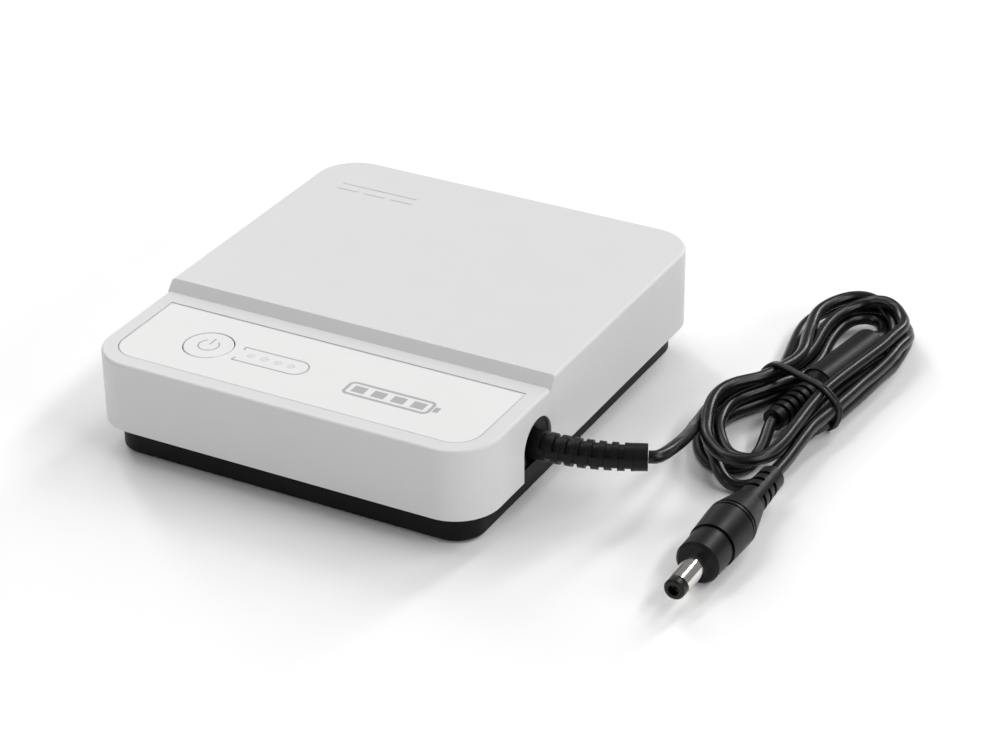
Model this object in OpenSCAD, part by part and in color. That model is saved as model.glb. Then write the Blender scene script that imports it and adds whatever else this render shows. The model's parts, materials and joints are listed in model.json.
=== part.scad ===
// Small 12 V uninterruptible power supply: a flat battery case with a raised
// rear deck, one power button, four status lights, a DC inlet in the rear wall
// and a captive output lead, tied in a hank, that ends in a coaxial DC plug.
// Millimetres, +Z up, +X to the right and +Y to the back. The origin lies on
// the table under the middle of the case.

/* [Case] */
// Width of the case
case_w = 105; // [104:0.5:108]
// Depth of the case, front to back
case_d = 117.4; // [117:0.2:120]
// Height of the rear deck above the table
case_h = 29.3; // [29:0.1:31]
// Height of the front panel above the table
panel_h = 26.7; // [26.2:0.1:27]
// Plan radius of the shell's corners
corner_r = 11.2; // [9:0.1:12]
// Wall thickness of the shell and the base
wall = 2; // [1.8:0.1:2.1]
// Rounding of the shell's upper edge
edge_r = 0.8; // [0.4:0.1:1.2]
// Height of the shell's lower rim above the table
rim_z = 8.6; // [8:0.1:9]
// How far the black base is set in below the rim
base_inset = 3.8; // [3:0.1:4]
// How far the feet stand out under the base
foot_proud = 0.8; // [0.5:0.1:1]
// Where the step between panel and deck starts, on the deck
step_top_y = -20.5; // [-21:0.1:-20]
// Where the step between panel and deck ends, on the panel
step_foot_y = -22.7; // [-23:0.1:-22]

/* [Front panel] */
// Width of the label on the front panel
label_w = 96.6; // [90:0.1:98]
// Thickness of the label
label_t = 0.4; // [0.3:0.1:0.5]
// Radius of the power button's cap
button_r = 6; // [5.5:0.1:6.3]
// How far the power button moves when it is pressed
button_travel = 0.5; // [0.3:0.1:0.6]
// Distance from one status light to the next
light_pitch = 3.65; // [3.4:0.05:3.8]

/* [Battery] */
// Diameter of a battery cell
cell_d = 18.3; // [18:0.1:18.5]
// Length of a battery cell without its raised pole
cell_l = 64.3; // [64:0.1:65]

/* [Output lead] */
// Diameter of the output lead
lead_d = 3.1; // [2.8:0.1:3.3]
// Height of the tied hank
hank_h = 10.5; // [9.5:0.1:10.5]
// Diameter of the ferrite's moulded sleeve
ferrite_d = 9.8; // [9:0.1:10]

/* [Plug] */
// Outer diameter of the plug's metal barrel
barrel_d = 5.5; // [5.5:0.1:5.5]
// Diameter of the inlet pin that the plug takes
pin_d = 2.1; // [2.1:0.1:2.1]
// Largest diameter of the plug's grip
grip_d = 12; // [11.5:0.1:12]

/* [Hidden] */
$fn = 48;

gap = 0.15;                          // between parts that only face each other
through = 1;                         // how far a cutter runs past a face

// Case levels
floor_z = foot_proud;                // underside of the base
floor_top = floor_z + wall;
panel_ceiling = panel_h - wall;
deck_ceiling = case_h - wall;
flange_z = rim_z + 0.4;              // where the base widens inside the shell
flange_t = 1.6;
lip_top = 13;
lip_t = 1.5;
base_r = corner_r - base_inset;
cavity_w = case_w - 2 * wall;
cavity_d = case_d - 2 * wall;
cavity_r = corner_r - wall;

// Front panel
label_front = -54.3;
label_back = -27.2;
label_corner_r = 6.5;
label_recess = 0.5;
button_x = -28.7;
button_y = -41.1;
button_top = panel_h - 0.05;
button_flange_r = 7.3;
button_collar_r = 8.3;
lights_x = -17;                      // leftmost status light
lights_y = -40.9;
light_r = 0.9;
guide_w = 6;

// Main board
board_w = 76;
board_front = -52.6;
board_back = -20.5;
board_top = 12;
board_t = 1.6;
board_post_x = 35.5;
board_post_y = [-50.5, -23.5];
board_post_r = 2.6;
board_screw_r = 0.9;
socket_x = -26;                      // battery socket on the main board
switch_side = 6;
switch_h = 3.6;
plunger_r = 1.75;
plunger_top = 20;

// Case screws and feet
screw_x = 43.5;
screw_y = [-49, 49.5];
screw_seat_z = 4.8;
screw_r = 1.15;
screw_head_r = 2.8;
boss_z = 8;                          // where base pillar and shell boss meet
boss_r = 3.5;                        // on the shell
pillar_r = 4.2;                      // on the base
foot_r = 4.5;
foot_x = 36;
foot_y = 42;
foot_pocket = 1.2;
plate_w = 56;                        // rating plate under the base
plate_d = 34;
plate_r = 2;

// Battery pack
cell_pitch = 18.6;
cell_first_y = -6.5;
cell_z = 13.4;
cell_left = -36;
pole_h = 0.7;
cell_right = cell_left + cell_l + pole_h;
strip_t = 0.2;
protection_x = -38.6;

// Inlet
inlet_x = -30;
inlet_z = 15.5;
inlet_face_y = 56.5;
inlet_back_y = 43.5;
inlet_half_w = 4.5;
inlet_half_h = 5.5;
inlet_board_end = 52.6;
inlet_hole_r = 5;
inlet_recess_r = 3.2;
inlet_recess_l = 9;
pin_back = 46;
pin_tip_y = 55.7;

// Output lead: where it leaves the right wall
arch_y = -29.1;
arch_z = 15.5;
arch_r = 6.7;
tongue_top = 11.8;
tongue_half_w = 8.5;
relief_bend_r = 51;                  // plan radius that the strain relief follows
relief_angle = 29;                   // how far round that curve it goes
relief_r0 = 3.6;                     // at the wall
relief_r1 = 3.2;                     // at the lead
relief_slots = 7;
relief_pitch = 3.3;                  // degrees from one slot to the next
relief_slot_w = 1.4;
relief_core_r = 2.8;                 // left under the slots
relief_web = 1;

// Route of the lead from the strain relief to the hank
lead_route = [
    [77.42, -22.56, 15.5], [78.6, -21.95, 15.45], [79.4, -20.6, 15.3],
    [79.8, -18.3, 15], [79.8, -15, 14.4], [79.5, -11, 13.5],
    [78.7, -6, 12], [77.5, 0, 10.3], [76.1, 6, 8.5],
    [75, 11, 7.3], [74.3, 15.5, 6.7], [74, 19, 6.5]
];
// Route of the lead from the hank to the plug
tail_route = [
    [99.6, 21, 6.9], [99.7, 16, 6.8], [99.8, 11, 6.5],
    [99.9, 6, 6.2], [99.9, 1, 6.1], [99.9, -2.8, 6.1]
];

// Hank: outline and opening, each drawn round two circles
hank_front = [85.5, 6.5];
hank_front_r = 12.5;
hank_back = [90.3, 76];
hank_back_r = 16;
eye_front = [88, 7];
eye_front_r = 5;
eye_back = [94, 68];
eye_back_r = 8;

// Tie round the hank's waist
tie_mid = [90.8, 34.8];
tie_angle = -21;
tie_inner_w = 26;
tie_inner_z = [1.3, 10.9];
tie_t = 1.2;
tie_w = 1.8;
tie_corner = 3.5;

// Ferrite on the lead, inside the hank's loop
ferrite_start = [88.9, 22.6, ferrite_d / 2];
ferrite_angle = 8.9;                 // turned from +Y towards +X
ferrite_boot_l = 20;
ferrite_body_l = 25;
ferrite_tail_l = 4;
boot_rings = 6;
boot_ring_pitch = 2.6;

// Plug: distances along its axis, from the lead's end to the tip
plug_x = 99.9;
plug_y = -2.8;
plug_z = grip_d / 2 + 0.1;
plug_relief_l = 14.6;
plug_cone_end = 22.9;
plug_body_end = 33.7;
plug_nose_end = 41.8;
plug_barrel_end = 51.6;
plug_tip_end = 53.8;
plug_inner_start = 36;
plug_relief_r0 = 3.05;
plug_relief_r1 = 3.75;
plug_body_r = grip_d / 2 - 0.35;
plug_nose_r = 5.25;
plug_slot_w = 1.2;
plug_core_r = 2.5;                   // left under the slots
plug_first_slot = 4.2;
plug_slot_turn = 35;                 // of the webs between the two rows, from the top
plug_slot_pitch = 3.2;
groove_w = 0.5;
groove_depth = 0.45;
barrel_wall = 0.45;
held_step = 0.2;                     // how much thinner a pin or barrel is where it is held
insulator_wall = 0.5;
plug_tip_r = 2.5;

// ---------------------------------------------------------------- helpers

function unit(v) = v / norm(v);

// Point at fraction t of the curve between p1 and p2
function curve_point(p0, p1, p2, p3, t) =
    0.5 * (2 * p1 + (p2 - p0) * t + (2 * p0 - 5 * p1 + 4 * p2 - p3) * t * t
        + (3 * p1 - p0 - 3 * p2 + p3) * t * t * t);

// Smooth curve through all points of a route
function smooth_route(route, steps) = [
    for (i = [0 : len(route) - 2]) for (k = [0 : steps - 1])
        curve_point(route[max(i - 1, 0)], route[i], route[i + 1],
            route[min(i + 2, len(route) - 1)], k / steps),
    route[len(route) - 1]
];

function route_direction(route, i) =
    unit(route[min(i + 1, len(route) - 1)] - route[max(i - 1, 0)]);

// Round tube along a route that is never vertical
module swept_tube(route, r, sides = 8) {
    rings = len(route);
    points = [
        for (i = [0 : rings - 1])
            let (along = route_direction(route, i),
                across = unit(cross(along, [0, 0, 1])),
                upward = cross(across, along))
            for (k = [0 : sides - 1])
                let (a = 360 * k / sides)
                route[i] + r * (cos(a) * across + sin(a) * upward)
    ];
    skin = [
        for (i = [0 : rings - 2]) for (k = [0 : sides - 1])
            let (next = (k + 1) % sides)
            [i * sides + k, i * sides + next, (i + 1) * sides + next, (i + 1) * sides + k]
    ];
    start_cap = [[for (k = [sides - 1 : -1 : 0]) k]];
    end_cap = [[for (k = [0 : sides - 1]) (rings - 1) * sides + k]];
    polyhedron(points,
        concat(skin, start_cap, end_cap));
}

module at_mirrored_x(x) {
    for (side = [-1, 1]) translate([side * x, 0, 0]) children();
}

// Rectangle with round corners, centred
module rounded_rect(w, d, r) {
    square([w - 2 * r, d], center = true);
    square([w, d - 2 * r], center = true);
    for (x = [-1, 1]) for (y = [-1, 1])
        translate([x * (w / 2 - r), y * (d / 2 - r)]) circle(r);
}

module rounded_plate(w, d, r, z0, z1) {
    translate([0, 0, z0]) linear_extrude(z1 - z0) rounded_rect(w, d, r);
}

// Upright section of half-width w, with its upper and lower outer corners rounded
module half_section(w, h, top_r, bottom_r) {
    square([w - max(top_r, bottom_r), h]);
    translate([0, bottom_r]) square([w, h - top_r - bottom_r]);
    translate([w - top_r, h - top_r]) circle(top_r);
    if (bottom_r > 0) translate([w - bottom_r, bottom_r]) circle(bottom_r);
}

module whole_section(w, h, top_r, bottom_r) {
    half_section(w / 2, h, top_r, bottom_r);
    mirror([1, 0]) half_section(w / 2, h, top_r, bottom_r);
}

// Block with round plan corners and rounded upper and lower edges
module soft_block(w, d, r, z0, z1, top_r, bottom_r = 0) {
    h = z1 - z0;
    translate([0, 0, z0]) {
        rotate([90, 0, 0]) linear_extrude(d - 2 * r, center = true)
            whole_section(w, h, top_r, bottom_r);
        rotate([90, 0, 90]) linear_extrude(w - 2 * r, center = true)
            whole_section(d, h, top_r, bottom_r);
        for (x = [-1, 1]) for (y = [-1, 1])
            translate([x * (w / 2 - r), y * (d / 2 - r), 0])
                rotate_extrude() half_section(r, h, top_r, bottom_r);
    }
}

// Box given by its lowest and highest corners
module box_between(low, high) {
    translate(low) cube(high - low);
}

// Upright block drawn tightly round two circles
module two_circle_block(h, c1, r1, c2, r2) {
    heading = atan2(c2[1] - c1[1], c2[0] - c1[0]);
    lean = acos((r1 - r2) / norm(c2 - c1));
    sink = 0.02;                     // keeps the sides from only grazing the circles
    translate(c1) cylinder(h = h, r = r1);
    translate(c2) cylinder(h = h, r = r2);
    linear_extrude(h) polygon([
        for (s = [-1, 1])
            c1 + (r1 - sink) * [cos(heading + s * lean), sin(heading + s * lean)],
        for (s = [1, -1])
            c2 + (r2 - sink) * [cos(heading + s * lean), sin(heading + s * lean)]
    ]);
}

// ---------------------------------------------------------------- case

// Everything behind the sloped step, seen from the side
module deck_region() {
    rotate([90, 0, 90]) linear_extrude(case_w + 2, center = true)
        polygon([
            [step_foot_y - 0.01, rim_z - through], [step_foot_y, panel_h - edge_r],
            [step_foot_y, panel_h], [step_top_y, case_h],
            [step_top_y, case_h + through], [case_d, case_h + through],
            [case_d, rim_z - through]
        ]);
}

module label_outline(grow) {
    w = label_w + 2 * grow;
    front = label_front - grow;
    back = label_back + grow;
    r = label_corner_r + grow;
    translate([-w / 2, front + r]) square([w, back - front - r]);
    translate([-w / 2 + r, front]) square([w - 2 * r, r + 1]);
    for (side = [-1, 1]) translate([side * (w / 2 - r), front + r]) circle(r);
}

// Arch in the right wall, as an outline in the Y-Z plane
module arch_outline(shrink, bottom) {
    r = arch_r - shrink;
    translate([arch_y, arch_z]) circle(r);
    translate([arch_y - r, bottom]) square([2 * r, arch_z - bottom]);
}

// Extrudes a Y-Z outline along X
module extrude_x(x0, x1) {
    translate([x0, 0, 0]) rotate([90, 0, 90]) linear_extrude(x1 - x0) children();
}

module shell_boss(x, y, ceiling) {
    translate([x, y, boss_z + 0.1]) difference() {
        cylinder(h = ceiling - boss_z + 0.3, r = boss_r);
        translate([0, 0, -through]) cylinder(h = 10 + through, r = screw_r + 0.05);
    }
}

module top_shell() {
    color("whitesmoke") {
        difference() {
            union() {
                soft_block(case_w, case_d, corner_r, rim_z, panel_h, edge_r);
                intersection() {
                    soft_block(case_w, case_d, corner_r, rim_z, case_h, edge_r);
                    deck_region();
                }
            }
            rounded_plate(cavity_w, cavity_d, cavity_r, rim_z - through, panel_ceiling);
            intersection() {
                rounded_plate(cavity_w, cavity_d, cavity_r, rim_z, deck_ceiling);
                box_between([-case_w, step_top_y + 0.6, rim_z], [case_w, case_d, case_h]);
            }
            translate([0, 0, panel_h - label_recess]) linear_extrude(label_recess + through)
                label_outline(0.2);
            translate([button_x, button_y, panel_ceiling - through])
                cylinder(h = wall + 2 * through, r = button_r + 0.3);
            translate([lights_x + 1.5 * light_pitch, lights_y, panel_ceiling - through])
                linear_extrude(wall + 2 * through)
                    rounded_rect(3 * light_pitch + guide_w, guide_w, guide_w / 2 - 0.01);
            extrude_x(case_w / 2 - wall - through, case_w / 2 + through)
                arch_outline(0, rim_z - through);
            translate([inlet_x, case_d / 2 - wall - through, inlet_z]) rotate([-90, 0, 0])
                cylinder(h = wall + 2 * through, r = inlet_hole_r);
        }
        translate([button_x, button_y, panel_ceiling - 3]) difference() {
            cylinder(h = 3.3, r = button_collar_r);
            translate([0, 0, -through]) cylinder(h = 4 + through, r = button_flange_r + 0.15);
        }
        for (side = [-1, 1]) {
            shell_boss(side * screw_x, screw_y[0], panel_ceiling);
            shell_boss(side * screw_x, screw_y[1], deck_ceiling);
        }
    }
}

module base_pillar(x, y) {
    translate([x, y, floor_z]) cylinder(h = boss_z - floor_z, r = pillar_r);
}

module base_tray() {
    color([0.08, 0.08, 0.08]) difference() {
        union() {
            difference() {
                union() {
                    soft_block(case_w - 2 * base_inset, case_d - 2 * base_inset, base_r,
                        floor_z, flange_z + 0.5, 0.1, 0.5);
                    rounded_plate(cavity_w - 2 * gap, cavity_d - 2 * gap, cavity_r - gap,
                        flange_z, lip_top);
                }
                rounded_plate(case_w - 2 * (base_inset + wall), case_d - 2 * (base_inset + wall),
                    base_r - wall, floor_top, lip_top);
                rounded_plate(cavity_w - 2 * (gap + lip_t), cavity_d - 2 * (gap + lip_t),
                    cavity_r - gap - lip_t, flange_z + flange_t, lip_top + through);
                extrude_x(case_w / 2 - wall - 5, case_w / 2)
                    translate([arch_y - tongue_half_w - 0.1, tongue_top])
                        square([2 * tongue_half_w + 0.2, 5]);
                box_between([inlet_x - inlet_half_w - 1, case_d / 2 - 8, inlet_z - inlet_half_h - 0.1],
                    [inlet_x + inlet_half_w + 1, case_d / 2, lip_top + through]);
            }
            extrude_x(case_w / 2 - wall - lip_t - gap, case_w / 2)
                translate([arch_y - arch_r + gap, rim_z])
                    square([2 * (arch_r - gap), tongue_top - rim_z]);
            for (side = [-1, 1]) {
                for (y = screw_y) base_pillar(side * screw_x, y);
                for (y = board_post_y) translate([side * board_post_x, y, floor_z + 0.5])
                    cylinder(h = board_top - board_t - floor_z - 0.5, r = board_post_r);
            }
            for (x = [-inlet_half_w, inlet_half_w])
                box_between([inlet_x + x - 1, inlet_back_y - 0.5, floor_z + 0.5],
                    [inlet_x + x + 1, inlet_board_end - 0.6, inlet_z - inlet_half_h - board_t]);
        }
        for (side = [-1, 1]) for (y = screw_y) translate([side * screw_x, y, 0]) {
            cylinder(h = screw_seat_z, r = screw_head_r + 0.3);
            cylinder(h = boss_z + through, r = screw_r + 0.45);
            translate([0, 0, boss_z]) cylinder(h = 10, r = boss_r + 0.2);
        }
        for (side = [-1, 1]) for (y = board_post_y)
            translate([side * board_post_x, y, floor_top + 0.5])
                cylinder(h = board_top, r = board_screw_r + 0.05);
        for (x = [-1, 1]) for (y = [-1, 1]) translate([x * foot_x, y * foot_y, 0])
            cylinder(h = floor_z + foot_pocket, r = foot_r + 0.05);
        translate([0, 0, floor_z - through]) linear_extrude(0.3 + through)
            rounded_rect(plate_w + 0.4, plate_d + 0.4, plate_r + 0.2);
    }
}

module front_label() {
    color("white") translate([0, 0, panel_h - label_recess]) linear_extrude(label_t) difference() {
        label_outline(0);
        translate([button_x, button_y]) circle(button_r + 0.3);
        for (i = [0 : 3]) translate([lights_x + i * light_pitch, lights_y])
            circle(light_r + 0.05);
    }
}

module light_guide() {
    color([0.85, 0.87, 0.9]) {
        translate([lights_x + 1.5 * light_pitch, lights_y, panel_ceiling - 0.5])
            linear_extrude(wall)
                rounded_rect(3 * light_pitch + guide_w - 0.6, guide_w - 0.6, guide_w / 2 - 0.31);
        for (i = [0 : 3]) translate([lights_x + i * light_pitch, lights_y, 0]) {
            translate([0, 0, 13.4]) cylinder(h = panel_ceiling - 13.4, r = 1.3);
            translate([0, 0, panel_ceiling]) cylinder(h = button_top - panel_ceiling - 0.05,
                r = light_r);
        }
    }
}

// ---------------------------------------------------------------- button and switch

module power_button() {
    color("white") translate([button_x, button_y, 0]) {
        translate([0, 0, panel_ceiling - 1]) soft_disc(button_r, button_top - panel_ceiling + 1);
        translate([0, 0, panel_ceiling - 1.4]) cylinder(h = 1.3, r = button_flange_r);
        translate([0, 0, plunger_top]) cylinder(h = panel_ceiling - plunger_top, r = 1.6);
    }
}

// Disc with a softened upper edge
module soft_disc(r, h) {
    rotate_extrude() half_section(r, h, 0.3, 0);
}

module switch_plunger() {
    color("black") translate([button_x, button_y, 0]) {
        translate([0, 0, board_top + 2.4]) cylinder(h = plunger_top - board_top - 2.4,
            r = plunger_r);
    }
}

module switch_body() {
    color("dimgray") translate([button_x, button_y, board_top]) difference() {
        translate([-switch_side / 2, -switch_side / 2, 0]) cube([switch_side, switch_side, switch_h]);
        translate([0, 0, 1.6]) cylinder(h = switch_h, r = plunger_r + 0.1);
    }
}

module status_lights() {
    color("lightgreen") for (i = [0 : 3])
        translate([lights_x + i * light_pitch - 1, lights_y - 0.65, board_top])
            cube([2, 1.3, 0.9]);
}

// ---------------------------------------------------------------- main board

module main_board() {
    color("darkgreen") difference() {
        box_between([-board_w / 2, board_front, board_top - board_t],
            [board_w / 2, board_back, board_top]);
        for (side = [-1, 1]) for (y = board_post_y)
            translate([side * board_post_x, y, 0]) cylinder(h = board_top + through, r = 1.4);
    }
}

// Pan-head screw, upright, with a cross recess
module pan_screw(head_r, head_h, shank_r, shank_l) {
    difference() {
        union() {
            cylinder(h = head_h, r = head_r);
            translate([0, 0, -shank_l]) cylinder(h = shank_l + 0.1, r = shank_r);
        }
        for (a = [0, 90]) rotate(a) translate([-head_r * 0.55, -0.3, head_h * 0.45])
            cube([head_r * 1.1, 0.6, head_h]);
    }
}

module board_screws() {
    color("silver") at_mirrored_x(board_post_x) for (y = board_post_y)
        translate([0, y, board_top]) pan_screw(2.1, 1.4, board_screw_r, 6);
}

module power_inductor() {
    color("darkslategray") translate([18, -38, board_top]) {
        translate([-6, -6, 0]) cube([12, 12, 1.5]);
        translate([0, 0, 1.4]) cylinder(h = 4.4, r = 4.6);
        translate([0, 0, 5.7]) cylinder(h = 1.5, r = 5.8);
    }
}

module bulk_capacitors() {
    color("midnightblue") for (x = [2, 11]) translate([x, -27, board_top]) difference() {
        union() {
            cylinder(h = 11, r = 4);
            cylinder(h = 0.8, r = 4.15);
        }
        translate([0, 0, 1.9]) difference() {
            cylinder(h = 0.7, r = 5);
            translate([0, 0, -0.1]) cylinder(h = 0.9, r = 3.7);
        }
    }
}

module chip(x, y, w, d, h) {
    translate([x - w / 2, y - d / 2, board_top]) cube([w, d, h]);
}

module controller_chips() {
    color([0.12, 0.12, 0.12]) {
        chip(-10, -30, 7, 7, 1.2);
        chip(2, -47, 5, 6, 1.7);
        chip(-14, -48, 6, 5, 1.5);
    }
}

module power_transistors() {
    color([0.15, 0.15, 0.16]) for (i = [0 : 2]) chip(28, -43 + i * 7, 5, 6, 1.1);
}

module input_fuse() {
    color("white") chip(21, -48.5, 6.1, 2.6, 2.5);
}

module battery_socket() {
    color("ivory") difference() {
        box_between([socket_x - 5, -28.5, board_top], [socket_x + 5, -22, board_top + 6]);
        box_between([socket_x - 4, -27.5, board_top + 1.2], [socket_x + 4, -21, board_top + 5]);
    }
}

module battery_connector() {
    color("white") box_between([socket_x - 3.8, -27.3, board_top + 1.4],
        [socket_x + 3.8, -19.5, board_top + 4.8]);
}

// Wire from the pack's connector to the protection board
module battery_wire(x, rise, tint) {
    route = [
        [x, -19.2, board_top + 3.1], [x, -18.4, board_top + 3.1 + rise / 4],
        [x - 2.5, -17.2, board_top + 3.1 + rise / 2],
        [x - 6, -16.9, board_top + 3.1 + rise], [-37.9, -16.2, board_top + 3.1 + rise]
    ];
    color(tint) swept_tube(smooth_route(route, 4), 0.65, 6);
}

module battery_wire_red() { battery_wire(socket_x + 1.6, 1.6, "red"); }
module battery_wire_black() { battery_wire(socket_x - 1.6, -1.4, [0.1, 0.1, 0.1]); }

// ---------------------------------------------------------------- battery pack

// One cell, lying along X; its raised pole faces right, or left when turned
module battery_cell(row, turned) {
    color("mediumseagreen")
        translate([(cell_left + cell_right) / 2, cell_first_y + row * cell_pitch, cell_z])
            mirror([turned ? 1 : 0, 0, 0]) rotate([0, 90, 0]) translate([0, 0, -(cell_l + pole_h) / 2]) {
                cylinder(h = cell_l, r = cell_d / 2);
                translate([0, 0, cell_l - 0.1]) cylinder(h = pole_h + 0.1, r = 3.2);
            }
}

module battery_cell_front() { battery_cell(0, false); }
module battery_cell_middle() { battery_cell(1, true); }
module battery_cell_back() { battery_cell(2, false); }

module cell_cradle() {
    color([0.2, 0.2, 0.22]) difference() {
        union() {
            box_between([-34, -17, floor_top + 0.1], [27, 41.2, floor_top + 1.2]);
            for (x = [-30, 19]) box_between([x, -17, floor_top + 0.1], [x + 4, 41.2, 12]);
        }
        for (row = [0 : 2]) translate([-40, cell_first_y + row * cell_pitch, cell_z])
            rotate([0, 90, 0]) cylinder(h = 80, r = cell_d / 2 + 0.05);
    }
}

// Strip on a cell end, spanning the given rows
module cell_strip(x, first_row, last_row) {
    y0 = cell_first_y + first_row * cell_pitch - 4;
    y1 = cell_first_y + last_row * cell_pitch + 4;
    box_between([x, y0, cell_z - 3.5], [x + strip_t, y1, cell_z + 3.5]);
}

module cell_strips() {
    color("silver") {
        cell_strip(cell_right, 0, 0);
        cell_strip(cell_right, 1.5, 2);
        cell_strip(cell_left - strip_t, 0, 1);
        cell_strip(cell_left - strip_t, 2, 2);
    }
}

module cell_pads() {
    color([0.25, 0.25, 0.27]) for (row = [0 : 2])
        box_between([-25, cell_first_y + row * cell_pitch - 3, cell_z + cell_d / 2 + 0.02],
            [18, cell_first_y + row * cell_pitch + 3, deck_ceiling - 0.05]);
}

module protection_board() {
    color("darkgreen") {
        box_between([protection_x, -15, 5], [protection_x + 1.2, 39, 21]);
        for (y = [-2, 10]) box_between([protection_x - 1.1, y, 8], [protection_x + 0.1, y + 6, 13]);
    }
}

// ---------------------------------------------------------------- inlet

module inlet_jack() {
    color([0.1, 0.1, 0.1]) difference() {
        box_between([inlet_x - inlet_half_w, inlet_back_y, inlet_z - inlet_half_h],
            [inlet_x + inlet_half_w, inlet_face_y, inlet_z + inlet_half_h]);
        translate([inlet_x, inlet_face_y + through, inlet_z]) rotate([90, 0, 0])
            cylinder(h = inlet_recess_l + through, r = inlet_recess_r);
        translate([inlet_x, pin_back, inlet_z]) rotate([-90, 0, 0])
            cylinder(h = 4, r = pin_d / 2 - held_step);
        box_between([inlet_x - 0.8, inlet_face_y - inlet_recess_l - 0.5, inlet_z - 3.9],
            [inlet_x + 0.8, inlet_face_y - 1, inlet_z - 3]);
    }
}

module inlet_pin() {
    color("silver") translate([inlet_x, 0, inlet_z]) rotate([-90, 0, 0]) {
        translate([0, 0, pin_back])
            cylinder(h = pin_tip_y - pin_back - 1, r = pin_d / 2 - held_step);
        translate([0, 0, inlet_face_y - inlet_recess_l])
            cylinder(h = pin_tip_y - inlet_face_y + inlet_recess_l, r = pin_d / 2);
    }
}

module inlet_spring() {
    color("goldenrod") box_between(
        [inlet_x - 0.7, inlet_face_y - inlet_recess_l, inlet_z - 3.85],
        [inlet_x + 0.7, inlet_face_y - 1.2, inlet_z - 3.45]);
}

module inlet_board() {
    color("darkgreen") box_between([inlet_x - 7, inlet_back_y - 1.5, inlet_z - inlet_half_h - board_t],
        [inlet_x + 12, inlet_board_end, inlet_z - inlet_half_h]);
}

// Wire from the inlet round the right of the battery pack to the main board
module inlet_wire(shift, ending, tint) {
    start = [
        [inlet_x + 9, 45 + shift, 10.8], [inlet_x + 13.5, 45 + shift, 10.4],
        [0, 45 + shift, 6], [22, 45 + shift, 5.4], [34, 43 + shift, 5.4],
        [39 + shift / 2, 37 + shift, 5.4], [40 + shift, 30, 5.4], [40 + shift, 8, 5.4]
    ];
    color(tint) swept_tube(smooth_route(concat(start, ending), 3), 0.7, 6);
}

module inlet_wire_red() {
    inlet_wire(0, [
        [40, -8, 7.5], [38.5, -15, 10], [35, -16.9, 12],
        [31.5, -17.5, 13.2], [29.7, -20, 13.4], [29.4, -22.8, 12.9]
    ], "red");
}

module inlet_wire_black() {
    inlet_wire(2.6, [
        [42.6, -9, 7.5], [41, -16.5, 10.5], [37, -19.1, 13],
        [33.6, -19.7, 13.5], [32.1, -21.6, 13.2], [31.9, -23.6, 12.9]
    ], [0.1, 0.1, 0.1]);
}

// ---------------------------------------------------------------- fasteners and underside

module case_screws() {
    color("gray") at_mirrored_x(screw_x) for (y = screw_y) translate([0, y, screw_seat_z])
        rotate([180, 0, 0]) pan_screw(screw_head_r, 1.9, screw_r, 11);
}

module rubber_feet() {
    color([0.15, 0.15, 0.15]) for (x = [-1, 1]) for (y = [-1, 1])
        translate([x * foot_x, y * foot_y, 0]) rotate_extrude()
            half_section(foot_r, floor_z + foot_pocket, 0.05, 0.4);
}

module rating_plate() {
    color("gainsboro") translate([0, 0, floor_z]) linear_extrude(0.25)
        rounded_rect(plate_w, plate_d, plate_r);
}

// ---------------------------------------------------------------- output lead

// Places children on the strain relief's curve, their +Z along it
module on_relief(angle) {
    translate([case_w / 2, arch_y + relief_bend_r, arch_z]) rotate([0, 0, angle])
        translate([0, -relief_bend_r, 0]) rotate([0, 90, 0]) children();
}

function relief_radius(angle) =
    relief_r0 + (relief_r1 - relief_r0) * angle / relief_angle;

// Half ring that leaves a web at each side
module half_ring_cut(outer_r, inner_r, w, side) {
    difference() {
        translate([0, 0, -w / 2]) cylinder(h = w, r = outer_r);
        translate([0, 0, -w]) cylinder(h = 2 * w, r = inner_r);
        translate([side > 0 ? -relief_web : -outer_r - 1, -outer_r - 1, -w])
            cube([outer_r + 1 + relief_web, 2 * outer_r + 2, 2 * w]);
    }
}

module strain_relief() {
    step = relief_angle / 8;
    color([0.1, 0.1, 0.1]) {
        extrude_x(case_w / 2 - wall - 2.8, case_w / 2 - wall - 0.2)
            difference() {
                translate([arch_y, arch_z]) circle(8.3);
                translate([arch_y - 9, tongue_top - 10]) square([18, 10.1]);
            }
        difference() {
            extrude_x(case_w / 2 - wall - 0.5, case_w / 2 - 0.6)
                intersection() {
                    arch_outline(gap, tongue_top + 0.1);
                    translate([arch_y - 9, tongue_top + 0.1]) square([18, 18]);
                }
            translate([case_w / 2 - 1.6, arch_y, arch_z]) rotate([0, 90, 0])
                cylinder(h = 1.2, r1 = 3.7, r2 = 5.9);
        }
        difference() {
            union() {
                translate([case_w / 2 - wall - 1, arch_y, arch_z]) rotate([0, 90, 0])
                    cylinder(h = wall + 1.2, r = relief_r0);
                for (i = [0 : 7]) on_relief(i * step)
                    cylinder(h = relief_bend_r * step * PI / 180 + 0.12,
                        r1 = relief_radius(i * step), r2 = relief_radius((i + 1) * step));
            }
            for (i = [0 : relief_slots - 1]) {
                on_relief(2.6 + i * relief_pitch)
                    half_ring_cut(relief_r0 + 1, relief_core_r, relief_slot_w, 1);
                on_relief(2.6 + (i + 0.5) * relief_pitch)
                    half_ring_cut(relief_r0 + 1, relief_core_r, relief_slot_w, -1);
            }
        }
    }
}

module output_wire(shift, tint) {
    inner = case_w / 2 - wall - 2.8;
    route = [
        [inner - 0.1, arch_y + shift, arch_z], [inner - 2, arch_y + shift, arch_z],
        [inner - 5, arch_y + 1.5 * shift, arch_z - 0.9],
        [inner - 9, arch_y + 2 * shift, board_top + 1.5],
        [inner - 13, arch_y + 2 * shift, board_top + 0.7]
    ];
    color(tint) swept_tube(smooth_route(route, 4), 0.65, 6);
}

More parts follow.
